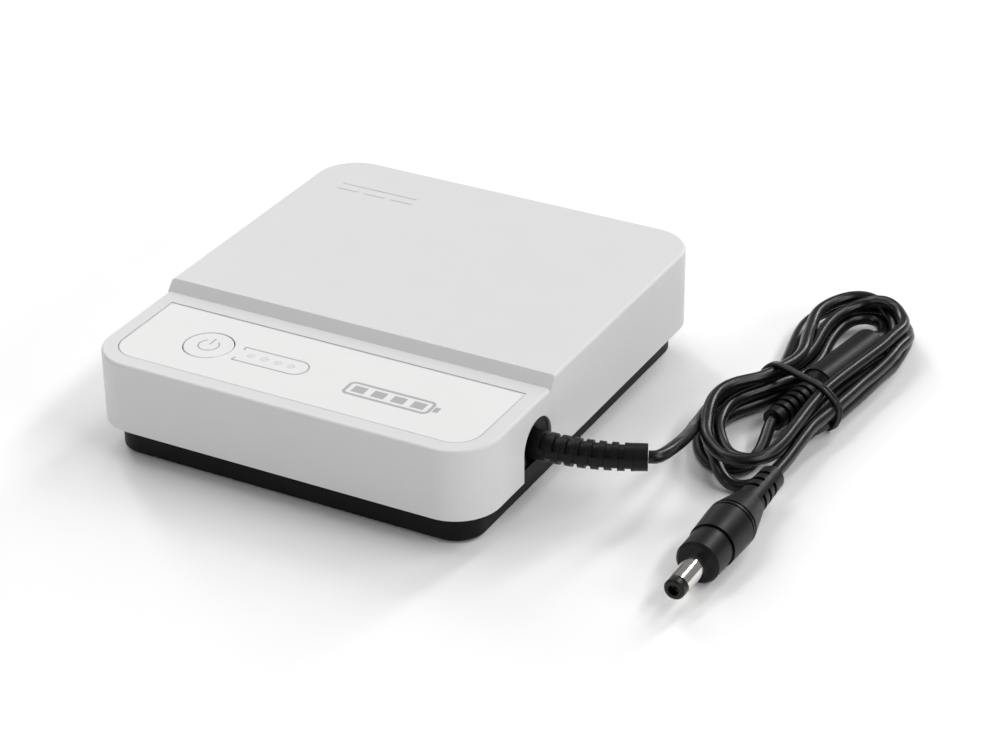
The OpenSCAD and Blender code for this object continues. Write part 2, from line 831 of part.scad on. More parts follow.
module output_wire_red() { output_wire(0.9, "red"); }
module output_wire_black() { output_wire(-0.9, [0.1, 0.1, 0.1]); }

module cord_lead() {
    color([0.08, 0.08, 0.08]) swept_tube(smooth_route(lead_route, 1), lead_d / 2);
}

module cord_tail() {
    color([0.08, 0.08, 0.08]) swept_tube(smooth_route(tail_route, 1), lead_d / 2);
}

module at_tie() {
    translate([tie_mid[0], tie_mid[1], 0]) rotate([90, 0, tie_angle]) children();
}

// Section of the tie's loop, grown outwards
module tie_section(grow) {
    w = tie_inner_w + 2 * grow;
    h = tie_inner_z[1] - tie_inner_z[0] + 2 * grow;
    translate([0, (tie_inner_z[0] + tie_inner_z[1]) / 2]) rounded_rect(w, h, tie_corner + grow);
}

module cord_tie() {
    color([0.06, 0.06, 0.06]) at_tie() linear_extrude(tie_w, center = true) difference() {
        tie_section(tie_t);
        tie_section(0);
    }
}

module cord_hank() {
    color([0.09, 0.09, 0.09]) difference() {
        two_circle_block(hank_h, hank_front, hank_front_r, hank_back, hank_back_r);
        translate([0, 0, -through])
            two_circle_block(hank_h + 2 * through, eye_front, eye_front_r, eye_back, eye_back_r);
        at_tie() linear_extrude(tie_w + 0.6, center = true) difference() {
            square([50, 40], center = true);
            tie_section(-0.1);
        }
    }
}

module at_ferrite() {
    translate(ferrite_start) rotate([0, 0, -ferrite_angle]) rotate([-90, 0, 0]) children();
}

module ferrite_core() {
    color([0.25, 0.25, 0.27]) at_ferrite() translate([0, 0, ferrite_boot_l + 2]) difference() {
        cylinder(h = ferrite_body_l - 5, r = ferrite_d / 2 - 1);
        translate([0, 0, -through]) cylinder(h = ferrite_body_l, r = lead_d / 2 + 0.2);
    }
}

module ferrite_sleeve() {
    r = ferrite_d / 2;
    color([0.1, 0.1, 0.1]) at_ferrite() difference() {
        union() {
            cylinder(h = ferrite_boot_l, r1 = 2.8, r2 = 3.4);
            translate([0, 0, ferrite_boot_l - 1.6]) cylinder(h = 1.7, r1 = 3.4, r2 = r - 0.4);
            translate([0, 0, ferrite_boot_l]) cylinder(h = ferrite_body_l, r = r);
            translate([0, 0, ferrite_boot_l + ferrite_body_l - 0.1])
                cylinder(h = 1.6, r1 = r - 0.3, r2 = 3.2);
            translate([0, 0, ferrite_boot_l + ferrite_body_l])
                cylinder(h = ferrite_tail_l, r1 = 3.3, r2 = 2.8);
        }
        for (i = [0 : boot_rings - 1]) translate([0, 0, 2.4 + i * boot_ring_pitch]) difference() {
            cylinder(h = 1.1, r = 4);
            translate([0, 0, -0.1]) cylinder(h = 1.3, r = 2.2);
        }
        translate([0, 0, ferrite_boot_l + 2]) cylinder(h = ferrite_body_l - 5, r = r - 1);
        translate([0, 0, -through]) cylinder(h = 60, r = lead_d / 2 + 0.05);
    }
}

// ---------------------------------------------------------------- plug

// Plug axis: +Z runs from the lead to the tip
module at_plug() {
    translate([plug_x, plug_y, plug_z]) rotate([90, 0, 0]) children();
}

module ring_groove(z, r) {
    translate([0, 0, z]) difference() {
        cylinder(h = groove_w, r = r + 1);
        translate([0, 0, -0.1]) cylinder(h = groove_w + 0.2, r = r - groove_depth);
    }
}

module plug_grip() {
    top_r = grip_d / 2;
    color([0.12, 0.12, 0.12]) at_plug() difference() {
        union() {
            cylinder(h = 0.6, r1 = plug_relief_r0 - 0.4, r2 = plug_relief_r0);
            translate([0, 0, 0.6]) cylinder(h = plug_relief_l - 0.6,
                r1 = plug_relief_r0, r2 = plug_relief_r1);
            translate([0, 0, plug_relief_l]) cylinder(h = plug_cone_end - plug_relief_l,
                r1 = plug_relief_r1 + 0.3, r2 = top_r);
            translate([0, 0, plug_cone_end]) cylinder(h = 2, r = top_r);
            translate([0, 0, plug_cone_end + 2]) cylinder(h = plug_body_end - plug_cone_end - 2,
                r1 = top_r, r2 = plug_body_r);
        }
        for (i = [0 : 2]) {
            translate([0, 0, plug_first_slot + i * plug_slot_pitch])
                rotate([0, 0, -plug_slot_turn]) half_ring_cut(5, plug_core_r, plug_slot_w, 1);
            translate([0, 0, plug_first_slot + (i + 0.5) * plug_slot_pitch])
                rotate([0, 0, -plug_slot_turn]) half_ring_cut(5, plug_core_r, plug_slot_w, -1);
        }
        ring_groove(plug_cone_end, top_r);
        ring_groove(plug_cone_end + 1.2, top_r);
    }
}

module plug_nose() {
    color([0.1, 0.1, 0.1]) at_plug() difference() {
        union() {
            translate([0, 0, plug_body_end + 0.02]) cylinder(h = 0.5, r = plug_nose_r - 0.4);
            translate([0, 0, plug_body_end + 0.5])
                cylinder(h = plug_nose_end - plug_body_end - 1.1, r = plug_nose_r);
            translate([0, 0, plug_nose_end - 0.62])
                cylinder(h = 0.62, r1 = plug_nose_r, r2 = plug_nose_r - 0.6);
        }
        translate([0, 0, plug_inner_start]) cylinder(h = 20, r = barrel_d / 2 - held_step);
    }
}

module plug_barrel() {
    color("silver") at_plug() difference() {
        union() {
            translate([0, 0, plug_inner_start])
                cylinder(h = plug_nose_end - plug_inner_start + 0.1, r = barrel_d / 2 - held_step);
            translate([0, 0, plug_nose_end])
                cylinder(h = plug_barrel_end - plug_nose_end, r = barrel_d / 2);
        }
        cylinder(h = 60, r = barrel_d / 2 - barrel_wall);
    }
}

module plug_insulator() {
    outer = barrel_d / 2 - barrel_wall;
    color([0.05, 0.05, 0.05]) at_plug() difference() {
        union() {
            translate([0, 0, plug_inner_start]) cylinder(h = 17, r = outer);
            translate([0, 0, plug_barrel_end]) cylinder(h = 1.7, r = plug_tip_r);
            translate([0, 0, plug_barrel_end + 1.7])
                cylinder(h = plug_tip_end - plug_barrel_end - 1.7, r1 = plug_tip_r,
                    r2 = plug_tip_r - 0.4);
        }
        translate([0, 0, plug_inner_start - through])
            cylinder(h = plug_barrel_end - plug_inner_start + through, r = outer - insulator_wall);
        translate([0, 0, plug_barrel_end - 1]) cylinder(h = 5, r = pin_d / 2 + 0.25);
    }
}

module plug_contact() {
    outer = barrel_d / 2 - barrel_wall - insulator_wall;
    color("goldenrod") at_plug() translate([0, 0, plug_inner_start]) difference() {
        cylinder(h = plug_barrel_end - plug_inner_start, r = outer);
        translate([0, 0, plug_nose_end + 0.4 - plug_inner_start]) cylinder(h = 20, r = pin_d / 2);
    }
}

// ---------------------------------------------------------------- nodes

top_shell();
base_tray();
front_label();
light_guide();
power_button();
switch_plunger();
switch_body();
status_lights();
main_board();
board_screws();
power_inductor();
bulk_capacitors();
controller_chips();
power_transistors();
input_fuse();
battery_socket();
battery_connector();
battery_wire_red();
battery_wire_black();
battery_cell_front();
battery_cell_middle();
battery_cell_back();
cell_cradle();
cell_strips();
cell_pads();
protection_board();
inlet_jack();
inlet_pin();
inlet_spring();
inlet_board();
inlet_wire_red();
inlet_wire_black();
case_screws();
rubber_feet();
rating_plate();
strain_relief();
output_wire_red();
output_wire_black();
cord_lead();
cord_hank();
cord_tail();
cord_tie();
ferrite_core();
ferrite_sleeve();
plug_grip();
plug_nose();
plug_barrel();
plug_insulator();
plug_contact();
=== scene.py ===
"""Looks of the small uninterruptible power supply and its folded output lead."""

import json
import math

import bmesh
import bpy
import numpy as np
from mathutils import Matrix, Vector


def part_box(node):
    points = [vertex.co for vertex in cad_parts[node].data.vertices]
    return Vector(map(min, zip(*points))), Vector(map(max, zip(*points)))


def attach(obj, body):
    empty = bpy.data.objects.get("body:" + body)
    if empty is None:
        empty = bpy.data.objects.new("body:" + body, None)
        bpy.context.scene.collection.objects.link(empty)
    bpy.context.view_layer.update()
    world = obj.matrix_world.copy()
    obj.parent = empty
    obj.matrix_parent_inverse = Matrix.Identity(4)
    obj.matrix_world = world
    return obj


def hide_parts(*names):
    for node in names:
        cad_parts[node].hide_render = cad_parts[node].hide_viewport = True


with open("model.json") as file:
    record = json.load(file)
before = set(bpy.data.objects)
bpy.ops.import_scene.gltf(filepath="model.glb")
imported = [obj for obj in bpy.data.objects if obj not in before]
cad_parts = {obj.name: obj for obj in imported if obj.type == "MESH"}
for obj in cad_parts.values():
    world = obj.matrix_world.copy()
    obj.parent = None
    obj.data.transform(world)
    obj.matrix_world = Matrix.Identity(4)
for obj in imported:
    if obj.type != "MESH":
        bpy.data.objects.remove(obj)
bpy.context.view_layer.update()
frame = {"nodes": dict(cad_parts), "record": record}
nodes = frame["nodes"]

MM = 0.001


# ---------------------------------------------------------------- camera

CAMERA_PLACE = (0.31762, -0.53531, 0.35515)
CAMERA_TURN = math.radians(-28.5)     # about the vertical, from +Y
CAMERA_DOWN = math.radians(29.36)
CAMERA_ROLL = math.radians(-0.5)
CAMERA_LENS = 104.5                   # mm, on a 36 mm sensor


def add_camera():
    forward = Vector((
        math.sin(CAMERA_TURN) * math.cos(CAMERA_DOWN),
        math.cos(CAMERA_TURN) * math.cos(CAMERA_DOWN),
        -math.sin(CAMERA_DOWN),
    ))
    level = Vector((math.cos(CAMERA_TURN), -math.sin(CAMERA_TURN), 0))
    upward = level.cross(forward)
    right = math.cos(CAMERA_ROLL) * level + math.sin(CAMERA_ROLL) * upward
    top = right.cross(forward)
    camera = bpy.data.objects.new("camera", bpy.data.cameras.new("camera"))
    bpy.context.scene.collection.objects.link(camera)
    camera.data.lens = CAMERA_LENS
    camera.data.sensor_width = 36
    turn = Matrix((right, top, -forward)).transposed().to_4x4()
    camera.matrix_world = Matrix.Translation(CAMERA_PLACE) @ turn
    bpy.context.scene.camera = camera


add_camera()


# ---------------------------------------------------------------- route of the lead, in mm

LEAD_D = 3.1
STRAND_GAP = 3.15                     # least distance between the middles of two strands
STEP = 1.5                            # between the points that the lead is worked out at
HELD_AT_START = 12                    # points beside the strain relief that keep to the route
HELD_AT_END = 14                      # points beside the plug that keep to the route
PULL_TO_ROUTE = 0.03                  # share of the way back to the route in one round
STIFFNESS = 0.25                      # share of the uneven bending taken out in one round
PUSH_APART = 0.6                      # share of an overlap taken out in one round
REST_Z = LEAD_D / 2 + 0.02            # middle of a strand that lies on the table

LEAD_ROUTE = [
    (77.42, -22.56, 15.5), (78.6, -21.95, 15.45), (79.4, -20.6, 15.3),
    (79.8, -18.3, 15), (79.8, -15, 14.4), (79.5, -11, 13.5),
    (78.7, -6, 12), (77.5, 0, 10.3), (76.1, 6, 8.5),
    (75, 11, 7.3), (74.3, 15.5, 6.7), (74, 19, 6.5),
]
TAIL_ROUTE = [
    (99.6, 21, 6.9), (99.7, 16, 6.8), (99.8, 11, 6.5),
    (99.9, 6, 6.2), (99.9, 1, 6.1), (99.9, -2.8, 6.1),
]

TIE_MIDDLE = np.array([90.8, 34.8])
TIE_ANGLE = math.radians(-21)
TIE_ACROSS = np.array([math.cos(TIE_ANGLE), math.sin(TIE_ANGLE)])
TIE_ALONG = np.array([-math.sin(TIE_ANGLE), math.cos(TIE_ANGLE)])
TIE_HALF_W = 13
TIE_BOTTOM = 1.3
TIE_TOP = 10.9

FERRITE_START = np.array([88.9, 22.6, 4.9])
FERRITE_ANGLE = math.radians(8.9)
FERRITE_LINE = np.array([math.sin(FERRITE_ANGLE), math.cos(FERRITE_ANGLE), 0])
FERRITE_L = 49
FERRITE_POINTS = (49, 36, 24, 12, 0)  # distances along it where the lead is held

# Solid rods that the strands stay off: start, direction, length, radius
FERRITE_RODS = [
    (FERRITE_START, FERRITE_LINE, 20, 3.2),
    (FERRITE_START + 20 * FERRITE_LINE, FERRITE_LINE, 25, 4.9),
    (FERRITE_START + 45 * FERRITE_LINE, FERRITE_LINE, 4, 3.1),
]
PLUG_ROD = (np.array([99.9, -2.8, 6.1]), np.array([0, -1, 0]), 15, 3.3)


def tie_slot(across, height):
    """Where a strand goes through the tie."""
    x, y = TIE_MIDDLE + across * TIE_ACROSS
    return [(x, y, height)]


def fold(centre, half_w, half_l, tilt, heights, at_back, steps=8):
    """Half an ellipse, clockwise from above. A back fold starts at the left, a front fold at the right."""
    tilt = math.radians(tilt)
    points = []
    for i in range(1, steps):
        part = i / steps
        angle = math.pi * (1 - part) if at_back else -math.pi * part
        across = half_w * math.cos(angle)
        along = half_l * math.sin(angle)
        points.append((
            centre[0] + across * math.cos(tilt) - along * math.sin(tilt),
            centre[1] + across * math.sin(tilt) + along * math.cos(tilt),
            fold_height(heights, part),
        ))
    return points


def fold_height(heights, part):
    """Height that goes smoothly from the first value through the second to the third."""
    first, middle, last = heights
    low, high = (first, middle) if part < 0.5 else (middle, last)
    part = 2 * part % 1
    return low + (high - low) * (0.5 - 0.5 * math.cos(math.pi * part))


def hank_route():
    """The turns of the hank, in the order in which the lead runs through them."""
    first_turn = (
        [(74.1, 23, 6.4), (75.6, 30, 6.2)]
        + tie_slot(-11.2, 6.2)
        + [(84, 48.5, 5.6)]
        + fold((93.8, 66), 9.8, 17, 8, (6.8, 8.8, 9.2), True)
        + tie_slot(6.8, 9.3)
        + fold((86.9, 12), 9.9, 15.8, 16, (8.6, 8, 9.7), False)
        + [(75.2, 20, 9.8), (77.2, 27, 9.9), (81, 32.3, 9.6)]
    )
    second_turn = (
        tie_slot(-8.6, 9.3)
        + [(84.5, 49.3, 8.3)]
        + fold((90.3, 67), 10.8, 18.2, 9, (8, 8.5, 4.9), True)
        + tie_slot(7.4, 6)
        + fold((86.6, 17.5), 9.1, 15, 14, (5.2, 4.8, 5.8), False)
        + [(77.4, 21.5, 5.7), (79, 28.5, 6), (82.2, 33.6, 6.2)]
    )
    inner_turn = (
        tie_slot(-7.2, 6.3)
        + [(86.4, 46, 4.6), (86, 54, 4.4), (85.4, 62, 4.7), (85.2, 69, 4.9)]
        + [(85.8, 75.4, 5), (87.6, 79.4, 5), (91, 81, 5), (94.6, 79.4, 5), (96.4, 75.6, 4.9)]
        + [tuple(FERRITE_START + s * FERRITE_LINE) for s in FERRITE_POINTS]
        + [(90.2, 13, 2.6), (89.9, 8.2, 1.6), (88.2, 4.2, 1.6), (85, 2, 1.6), (81, 3, 1.6)]
        + [(77.2, 6.6, 1.6), (74.6, 11.5, 1.6), (73.2, 17.5, 1.6), (74.4, 25.5, 1.9)]
    )
    low_turn = (
        tie_slot(-11, 2.9)
        + fold((89.4, 69.5), 14.2, 21, 9, (2.2, 3.4, 1.8), True)
        + tie_slot(9.6, 2.9)
        + [(96.8, 24, 2.2), (96.8, 16, 1.6), (96.7, 9, 1.6), (96.4, 3.5, 1.6)]
        + [(94.6, -1.6, 1.6), (90.9, -4.6, 1.8), (86.9, -3.2, 3.4), (84.2, 0.4, 4.7)]
        + [(80.8, 5.6, 4.8), (78.3, 10.8, 4.4), (76.9, 17, 3.6), (77.8, 25, 3)]
    )
    last_turn = (
        tie_slot(-7.8, 2.9)
        + fold((91.8, 67.5), 11.8, 17.6, 4, (1.8, 4.8, 5.9), True)
        + tie_slot(11, 7)
    )
    return first_turn + second_turn + inner_turn + low_turn + last_turn


def even_points(points, step):
    """The same line with its points evenly spaced."""
    lengths = np.linalg.norm(np.diff(points, axis=0), axis=1)
    along = np.concatenate([[0], np.cumsum(lengths)])
    count = round(along[-1] / step) + 1
    wanted = np.linspace(0, along[-1], count)
    return np.stack([np.interp(wanted, along, points[:, k]) for k in range(3)], axis=1)


def smooth_line(route, steps=24):
    """Smooth curve through all points of a route, without loops at unevenly spaced points."""
    p = np.array(route, float)
    p = np.concatenate([[2 * p[0] - p[1]], p, [2 * p[-1] - p[-2]]])
    gaps = np.sqrt(np.linalg.norm(np.diff(p, axis=0), axis=1))
    knots = np.concatenate([[0], np.cumsum(gaps)])
    line = []
    for i in range(1, len(p) - 2):
        t0, t1, t2, t3 = knots[i - 1:i + 3]
        for t in np.linspace(t1, t2, steps, endpoint=False):
            a1 = ((t1 - t) * p[i - 1] + (t - t0) * p[i]) / (t1 - t0)
            a2 = ((t2 - t) * p[i] + (t - t1) * p[i + 1]) / (t2 - t1)
            a3 = ((t3 - t) * p[i + 1] + (t - t2) * p[i + 2]) / (t3 - t2)
            b1 = ((t2 - t) * a1 + (t - t0) * a2) / (t2 - t0)
            b2 = ((t3 - t) * a2 + (t - t1) * a3) / (t3 - t1)
            line.append(((t2 - t) * b1 + (t - t1) * b2) / (t2 - t1))
    line.append(p[-2])
    return np.array(line)


def close_pairs(points, reach):
    """Pairs of points nearer than reach that are well apart along the lead."""
    apart = round(3.2 * LEAD_D / STEP)
    first, second = np.triu_indices(len(points), apart + 1)
    distance = np.linalg.norm(points[first] - points[second], axis=1)
    near = distance < reach
    return first[near], second[near]


def push_off_rod(points, movable, rod):
    start, line, length, radius = rod
    along = np.clip((points - start) @ line, 0, length)
    offset = points - (start + along[:, None] * line)
    distance = np.linalg.norm(offset, axis=1) + 1e-9
    missing = np.maximum(0, radius + LEAD_D / 2 + 0.05 - distance)
    return points + np.where(movable[:, None], offset / distance[:, None] * missing[:, None], 0)


def keep_in_tie(points, free):
    """Strands stay within the tie's opening where they go through it."""
    relative = points[:, :2] - TIE_MIDDLE
    across = relative @ TIE_ACROSS
    inside = free & (np.abs(relative @ TIE_ALONG) < 2.4)
    limit = TIE_HALF_W - LEAD_D / 2
    shift = np.where(inside, np.clip(across, -limit, limit) - across, 0)
    points[:, :2] += shift[:, None] * TIE_ACROSS
    clipped = np.clip(points[:, 2], TIE_BOTTOM + LEAD_D / 2, TIE_TOP - LEAD_D / 2)
    points[:, 2] = np.where(inside, clipped, points[:, 2])
    return points


def settle(target, rounds=250):
    """Strands as a springy lead lies: evenly bent, beside and on each other, and on the table."""
    points = target.copy()
    order = np.arange(len(points))
    from_ferrite = np.linalg.norm(points - (FERRITE_START + FERRITE_L * FERRITE_LINE), axis=1)
    enters = int(np.argmin(from_ferrite))
    leaves = enters + int(FERRITE_L / STEP)
    loose = (order >= HELD_AT_START) & (order < len(points) - HELD_AT_END)
    free = loose & ((order < enters) | (order > leaves))
    beside_ferrite = free & ((order < enters - 4) | (order > leaves + 4))
    beside_plug = free & (order < len(points) - 22)
    for step in range(rounds):
        if step % 10 == 0:
            first, second = close_pairs(points, STRAND_GAP + 2)
        sag = np.zeros_like(points)
        sag[1:-1] = (points[:-2] + points[2:]) / 2 - points[1:-1]
        bend = np.zeros_like(points)
        bend[1:-1] = (sag[:-2] + sag[2:]) / 2 - sag[1:-1]
        move = PULL_TO_ROUTE * (target - points) - STIFFNESS * bend
        points = points + np.where(free[:, None], move, 0)
        offset = points[first] - points[second]
        distance = np.linalg.norm(offset, axis=1) + 1e-9
        push = offset / distance[:, None] * np.maximum(0, STRAND_GAP - distance)[:, None]
        touching = (distance < STRAND_GAP).astype(float)
        total = np.zeros_like(points)
        count = np.zeros(len(points))
        np.add.at(total, first, push)
        np.add.at(total, second, -push)
        np.add.at(count, first, touching)
        np.add.at(count, second, touching)
        share = PUSH_APART * total / np.maximum(1, count)[:, None]
        points = points + np.where(free[:, None], share, 0)
        for rod in FERRITE_RODS:
            points = push_off_rod(points, beside_ferrite, rod)
        points = push_off_rod(points, beside_plug, PLUG_ROD)
        points = keep_in_tie(points, free)
        points[:, 2] = np.where(free, np.maximum(points[:, 2], REST_Z), points[:, 2])
    return points


def lead_points():
    route = LEAD_ROUTE + hank_route() + TAIL_ROUTE
    return settle(even_points(smooth_line(route), STEP))


# ---------------------------------------------------------------- node graph helpers

class Graph:
    """A material's node tree, with short ways to add the few kinds of node used here."""

    def __init__(self, name):
        self.material = bpy.data.materials.new(name)
        self.material.use_nodes = True
        self.tree = self.material.node_tree
        self.shader = self.tree.nodes["Principled BSDF"]
        self.place = self.add("ShaderNodeTexCoord").outputs["Object"]
        self.bumps = None

    def add(self, kind):
        return self.tree.nodes.new(kind)

    def link(self, source, target):
        self.tree.links.new(source, target)

    def stretched(self, scale):
        """Object coordinates, scaled along each axis, so that a noise becomes streaks."""
        mapping = self.add("ShaderNodeMapping")
        mapping.inputs["Scale"].default_value = scale
        self.link(self.place, mapping.inputs["Vector"])
        return mapping.outputs["Vector"]

    def noise(self, size, detail=3, place=None):
        """Noise whose patches are about size metres across."""
        noise = self.add("ShaderNodeTexNoise")
        noise.inputs["Scale"].default_value = 1 / size
        noise.inputs["Detail"].default_value = detail
        self.link(place or self.place, noise.inputs["Vector"])
        return noise.outputs["Fac"]

    def cells(self, size):
        """Irregular cells about size metres across, as spark-eroded grain has."""
        cells = self.add("ShaderNodeTexVoronoi")
        cells.inputs["Scale"].default_value = 1 / size
        self.link(self.place, cells.inputs["Vector"])
        return cells.outputs["Distance"]

    def spread(self, value, low, high):
        """A pattern's middle range brought between low and high."""
        spread = self.add("ShaderNodeMapRange")
        spread.inputs["From Min"].default_value = 0.3
        spread.inputs["From Max"].default_value = 0.7
        spread.inputs["To Min"].default_value = low
        spread.inputs["To Max"].default_value = high
        self.link(value, spread.inputs["Value"])
        return spread.outputs["Result"]

    def colour(self, value, dark, light):
        """Colour that goes from dark to light with a pattern."""
        ramp = self.add("ShaderNodeValToRGB")
        ramp.color_ramp.elements[0].position = 0.3
        ramp.color_ramp.elements[0].color = (*dark, 1)
        ramp.color_ramp.elements[1].position = 0.7
        ramp.color_ramp.elements[1].color = (*light, 1)
        self.link(value, ramp.inputs["Fac"])
        self.link(ramp.outputs["Color"], self.shader.inputs["Base Color"])

    def roughness(self, value, low, high):
        self.link(self.spread(value, low, high), self.shader.inputs["Roughness"])

    def bump(self, height, depth, strength=1):
        """Relief of that depth, in metres, on top of any relief already there."""
        bump = self.add("ShaderNodeBump")
        bump.inputs["Strength"].default_value = strength
        bump.inputs["Distance"].default_value = depth
        self.link(height, bump.inputs["Height"])
        if self.bumps:
            self.link(self.bumps, bump.inputs["Normal"])
        self.bumps = bump.outputs["Normal"]
        self.link(self.bumps, self.shader.inputs["Normal"])


def shade(colour, factor):
    return tuple(min(1, c * factor) for c in colour)


def plain_finish(name, colour, roughness, vary=0.03, grain=0.3 * MM, depth=0.01 * MM,
                 metallic=0, specular=0.5):
    """Moulded or rolled surface: patchy colour, uneven gloss and a fine grain."""
    graph = Graph(name)
    patches = graph.noise(14 * MM, detail=4)
    graph.colour(patches, shade(colour, 1 - vary), shade(colour, 1 + vary))
    gloss = graph.noise(2.5 * MM, detail=5)
    graph.roughness(gloss, roughness - 0.04, roughness + 0.04)
    graph.bump(graph.noise(grain, detail=2), depth)
    graph.shader.inputs["Metallic"].default_value = metallic
    graph.shader.inputs["Specular IOR Level"].default_value = specular
    return graph


# ---------------------------------------------------------------- materials, one per slot

def shell_plastic():
    graph = plain_finish("shell_plastic", (0.662, 0.664, 0.662), 0.48, vary=0.008,
                         grain=0.45 * MM, depth=0.006 * MM, specular=0.35)
    graph.bump(graph.cells(0.3 * MM), 0.004 * MM)
    graph.bump(graph.noise(30 * MM), 0.05 * MM, strength=0.3)
    return graph


def base_plastic():
    graph = plain_finish("base_plastic", (0.006, 0.006, 0.0065), 0.45, vary=0.15,
                         grain=0.5 * MM, depth=0.012 * MM, specular=0.12)
    graph.bump(graph.cells(0.35 * MM), 0.008 * MM)
    return graph


def label_film():
    return plain_finish("label_film", (0.755, 0.754, 0.75), 0.42, vary=0.006,
                        grain=0.2 * MM, depth=0.002 * MM, specular=0.3)


def button_plastic():
    return plain_finish("button_plastic", (0.752, 0.752, 0.75), 0.42, vary=0.008,
                        grain=0.25 * MM, depth=0.003 * MM, specular=0.3)


def light_guide_plastic():
    graph = plain_finish("light_guide_plastic", (0.69, 0.695, 0.7), 0.3, vary=0.02,
                         grain=0.6 * MM, depth=0.004 * MM)
    graph.shader.inputs["Subsurface Weight"].default_value = 0.2
    graph.shader.inputs["Subsurface Radius"].default_value = (MM, MM, MM)
    return graph


def black_plastic():
    return plain_finish("black_plastic", (0.005, 0.005, 0.0055), 0.36, vary=0.12,
                        grain=0.4 * MM, depth=0.006 * MM, specular=0.3)


def light_package():
    graph = plain_finish("light_package", (0.72, 0.76, 0.6), 0.2, vary=0.05)
    graph.shader.inputs["Coat Weight"].default_value = 0.4
    return graph


def board_laminate():
    """Solder mask with faint tracks under it."""
    graph = plain_finish("board_laminate", (0.012, 0.11, 0.045), 0.33, vary=0.1)
    tracks = graph.add("ShaderNodeTexBrick")
    tracks.inputs["Scale"].default_value = 1
    tracks.inputs["Brick Width"].default_value = 6 * MM
    tracks.inputs["Row Height"].default_value = 1.3 * MM
    tracks.inputs["Mortar Size"].default_value = 0.15 * MM
    tracks.inputs["Color1"].default_value = (0.012, 0.11, 0.045, 1)
    tracks.inputs["Color2"].default_value = (0.015, 0.125, 0.05, 1)
    tracks.inputs["Mortar"].default_value = (0.03, 0.2, 0.09, 1)
    graph.link(graph.place, tracks.inputs["Vector"])
    graph.link(tracks.outputs["Color"], graph.shader.inputs["Base Color"])
    graph.bump(tracks.outputs["Fac"], 0.02 * MM)
    return graph


def brushed(name, colour, roughness, scale):
    """Rolled or drawn metal with fine streaks."""
    graph = plain_finish(name, colour, roughness, vary=0.05, metallic=1)
    streaks = graph.noise(0.4 * MM, detail=2, place=graph.stretched(scale))
    graph.roughness(streaks, roughness - 0.07, roughness + 0.07)
    graph.bump(streaks, 0.004 * MM)
    return graph


def screw_steel():
    return brushed("screw_steel", (0.46, 0.46, 0.47), 0.32, (1, 1, 0.2))


def ferrite():
    return plain_finish("ferrite", (0.05, 0.05, 0.055), 0.62, vary=0.2, grain=0.25 * MM,
                        depth=0.02 * MM)


def capacitor_can():
    return plain_finish("capacitor_can", (0.03, 0.045, 0.1), 0.28, vary=0.1)


def fuse_ceramic():
    return plain_finish("fuse_ceramic", (0.78, 0.76, 0.7), 0.22, vary=0.03)


def connector_nylon():
    return plain_finish("connector_nylon", (0.76, 0.72, 0.6), 0.4, vary=0.04)


def red_insulation():
    return plain_finish("red_insulation", (0.45, 0.015, 0.012), 0.35, vary=0.1)


def black_insulation():
    return plain_finish("black_insulation", (0.015, 0.015, 0.016), 0.35, vary=0.12)


def cell_wrap():
    """Heat-shrunk film with slight creases round the cell."""
    graph = plain_finish("cell_wrap", (0.03, 0.2, 0.13), 0.28, vary=0.08)
    creases = graph.noise(2.5 * MM, detail=3, place=graph.stretched((0.15, 1, 1)))
    graph.bump(creases, 0.05 * MM, strength=0.5)
    return graph


def cradle_plastic():
    return plain_finish("cradle_plastic", (0.03, 0.03, 0.034), 0.5, vary=0.1)


def nickel_strip():
    """Strip with rows of spot welds."""
    graph = brushed("nickel_strip", (0.62, 0.6, 0.56), 0.3, (0.2, 1, 0.2))
    welds = graph.add("ShaderNodeTexVoronoi")
    welds.inputs["Scale"].default_value = 1 / (3 * MM)
    welds.inputs["Randomness"].default_value = 0
    graph.link(graph.place, welds.inputs["Vector"])
    graph.bump(graph.spread(welds.outputs["Distance"], 0, 1), 0.05 * MM)
    return graph


def foam():
    graph = plain_finish("foam", (0.05, 0.05, 0.055), 0.9, vary=0.15, grain=0.5 * MM,
                         depth=0.12 * MM)
    graph.bump(graph.cells(0.4 * MM), 0.1 * MM)
    return graph


def nickel_plate():
    """Bright plating, with the faint rings that turning leaves round the plug's axis."""
    graph = plain_finish("nickel_plate", (0.8, 0.78, 0.74), 0.14, vary=0.03, metallic=1,
                         depth=0.001 * MM)
    rings = graph.noise(0.3 * MM, detail=2, place=graph.stretched((0.05, 1, 0.05)))
    graph.roughness(rings, 0.09, 0.19)
    graph.bump(rings, 0.003 * MM)
    return graph


def spring_brass():
    return brushed("spring_brass", (0.72, 0.54, 0.24), 0.28, (0.2, 1, 0.2))


def foot_rubber():
    return plain_finish("foot_rubber", (0.02, 0.02, 0.021), 0.8, vary=0.15, grain=0.2 * MM,
                        depth=0.02 * MM)


def rating_foil():
    graph = plain_finish("rating_foil", (0.6, 0.61, 0.62), 0.38, vary=0.02, metallic=0.6)
    graph.bump(graph.noise(0.15 * MM, detail=1), 0.004 * MM)
    return graph


def lead_jacket():
    """Extruded jacket: semi-gloss, with a slight waviness that breaks its highlights."""
    graph = plain_finish("lead_jacket", (0.0025, 0.0026, 0.003), 0.3, vary=0.12,
                         grain=1.5 * MM, depth=0.001 * MM, specular=0.4)
    graph.bump(graph.noise(12 * MM, detail=1), 0.02 * MM, strength=0.3)
    return graph


def moulded_rubber():
    graph = plain_finish("moulded_rubber", (0.0035, 0.0036, 0.004), 0.4, vary=0.12,
                         grain=0.3 * MM, depth=0.008 * MM, specular=0.22)
    graph.bump(graph.cells(0.25 * MM), 0.006 * MM)
    return graph


def tie_plastic():
    return plain_finish("tie_plastic", (0.004, 0.004, 0.0042), 0.34, vary=0.12,
                        grain=0.3 * MM, depth=0.006 * MM, specular=0.35)


